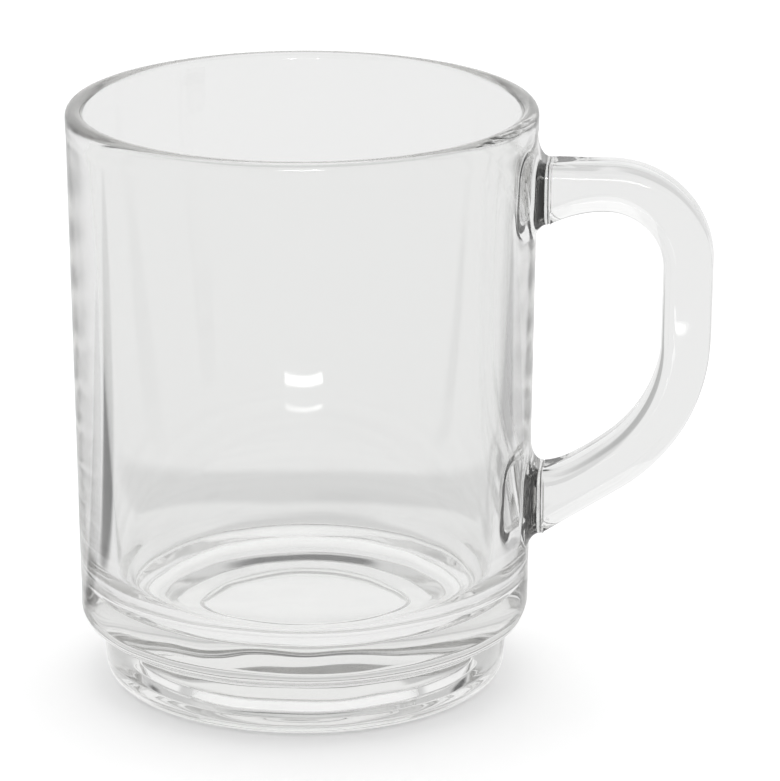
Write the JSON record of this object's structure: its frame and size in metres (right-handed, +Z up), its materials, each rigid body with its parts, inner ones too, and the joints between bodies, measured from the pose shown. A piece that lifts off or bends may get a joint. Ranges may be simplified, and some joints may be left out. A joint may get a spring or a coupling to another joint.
{
  "type": "tea glass",
  "caption": "Clear pressed tea glass with a tapered wall, thick stepped base, short stacking foot and a solid glass bar handle fused on at the side.",
  "frame": {"origin": "on the table plane, under the middle of the outline's box, so the bowl's axis stands 13.85 mm to -X", "axes": "+X towards the handle, +Z up, +Y across the handle's plane"},
  "size_m": [0.1016, 0.074, 0.0936],
  "materials": {
    "glass": "clear, fire-polished"
  },
  "bodies": {
    "root": {"bowl": "glass", "handle": "glass"}
  },
  "joints": []
}
